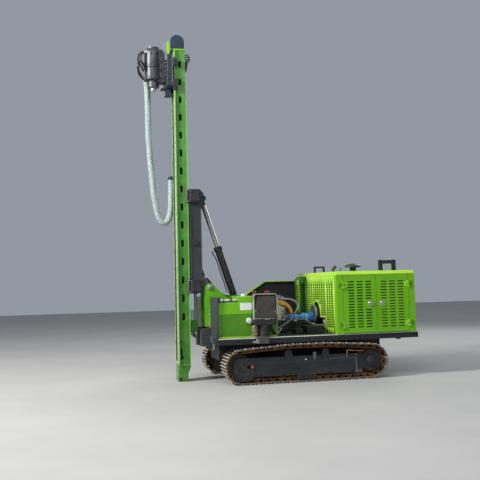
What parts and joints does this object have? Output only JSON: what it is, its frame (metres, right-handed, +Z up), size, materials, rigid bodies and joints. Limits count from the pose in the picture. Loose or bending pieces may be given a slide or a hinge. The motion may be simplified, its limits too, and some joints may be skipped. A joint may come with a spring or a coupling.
{
  "type": "tracked pile driver rig",
  "caption": "Tracked pile driver rig with an engine hood and side doors, a swinging and tilting cradle, and a tall slotted mast that carries a hydraulic drive head.",
  "frame": {"origin": "on the ground, under the middle of the machine's length and width", "axes": "+X to the mast at the front, +Y to the left side with the console, +Z up the mast"},
  "size_m": [4.292, 2.12, 5.75],
  "materials": {
    "green_paint": "glossy lime green enamel, dusty",
    "deep_green_paint": "glossy mid green enamel",
    "slate_paint": "satin slate grey enamel",
    "dark_paint": "satin dark grey enamel with dust",
    "black_paint": "satin black enamel",
    "rusty_steel": "rust-brown links with worn shoes",
    "worn_steel": "worn bare steel",
    "rod_chrome": "ground chrome",
    "head_metal": "dark metallic paint over cast and turned parts",
    "blue_paint": "blue enamel on cast iron",
    "beige_metal": "beige primer",
    "red_plastic": "red lever knobs",
    "white_plastic": "white lamp shell",
    "hose_wrap": "translucent speckled hose sleeve"
  },
  "bodies": {
    "chassis": {"center_frame": "dark_paint", "cross_arms": "dark_paint", "deck_plate": "slate_paint", "deck_beams": "slate_paint", "front_frame": "slate_paint", "track_frame_left": "dark_paint", "track_frame_right": "dark_paint", "track_left": "rusty_steel", "track_right": "rusty_steel", "idlers": "dark_paint", "sprockets": "worn_steel", "rollers": "dark_paint", "swing_ring": "worn_steel", "tank_left": "green_paint", "tank_right": "green_paint", "engine_block": "dark_paint", "bell_housing": "worn_steel", "pump": "blue_paint", "valve_block": "beige_metal", "hood_posts": "deep_green_paint", "hood_roof": "green_paint", "hood_front_grille": "green_paint", "hood_rear_grille": "green_paint", "side_cover": "deep_green_paint", "intake_cap": "black_paint", "roof_arches": "black_paint", "console_box": "dark_paint", "console_post": "beige_metal", "console_levers": "red_plastic", "console_lamp": "white_plastic"},
    "door_left_front": {"door_left_front": "green_paint"},
    "door_left_rear": {"door_left_rear": "green_paint"},
    "door_right_front": {"door_right_front": "green_paint"},
    "door_right_rear": {"door_right_rear": "green_paint"},
    "swing": {"swing_bracket": "green_paint"},
    "barrel": {"tilt_barrel": "black_paint"},
    "rod": {"tilt_rod": "rod_chrome"},
    "cradle": {"cradle": "slate_paint", "guide_clamps": "black_paint", "lift_barrel": "black_paint"},
    "mast": {"mast_column": "deep_green_paint", "mast_crown": "slate_paint", "feed_chain": "dark_paint", "hose_bracket": "dark_paint", "hose_bundle": "hose_wrap", "lift_rod": "rod_chrome"},
    "head": {"carriage": "slate_paint", "drive_head": "head_metal"},
    "spindle": {"spindle": "worn_steel"}
  },
  "joints": [
    {"name": "mast_swing", "type": "hinge", "parent": "chassis", "child": "swing", "pos_m": [1.104, 0, 0.995], "axis": [1, 0, 0], "range_deg": [-10, 10]},
    {"name": "mast_tilt", "type": "hinge", "parent": "swing", "child": "cradle", "pos_m": [1.136, 0, 1.505], "axis": [0, 1, 0], "range_deg": [-90, 5]},
    {"name": "tilt_barrel_turn", "type": "hinge", "parent": "swing", "child": "barrel", "pos_m": [0.684, 0, 1.318], "axis": [0, 1, 0], "range_deg": [-93.7, 5.6]},
    {"name": "tilt_rod_slide", "type": "slide", "parent": "barrel", "child": "rod", "axis": [0.3071, 0, 0.9517], "range_m": [-0.7, 0.04]},
    {"name": "mast_lift", "type": "slide", "parent": "cradle", "child": "mast", "axis": [0, 0, 1], "range_m": [0, 0.42]},
    {"name": "head_feed", "type": "slide", "parent": "mast", "child": "head", "axis": [0, 0, -1], "range_m": [0, 4.3], "deforming": ["hose_bundle"]},
    {"name": "spindle_turn", "type": "hinge", "parent": "head", "child": "spindle", "pos_m": [1.999, 0, 4.8], "axis": [0, 0, 1], "continuous": true},
    {"name": "door_left_front_hinge", "type": "hinge", "parent": "chassis", "child": "door_left_front", "pos_m": [-0.862, 1.046, 1.2], "axis": [0, 0, -1], "range_deg": [0, 100]},
    {"name": "door_left_rear_hinge", "type": "hinge", "parent": "chassis", "child": "door_left_rear", "pos_m": [-1.995, 1.046, 1.2], "axis": [0, 0, 1], "range_deg": [0, 100]},
    {"name": "door_right_front_hinge", "type": "hinge", "parent": "chassis", "child": "door_right_front", "pos_m": [-0.862, -1.046, 1.2], "axis": [0, 0, 1], "range_deg": [0, 100]},
    {"name": "door_right_rear_hinge", "type": "hinge", "parent": "chassis", "child": "door_right_rear", "pos_m": [-1.995, -1.046, 1.2], "axis": [0, 0, -1], "range_deg": [0, 100]}
  ],
  "couplings": [
    {"joint": "tilt_barrel_turn", "follows": "mast_tilt", "ratio": 1.0335},
    {"joint": "tilt_rod_slide", "follows": "mast_tilt", "m_per_rad": 0.43802}
  ]
}
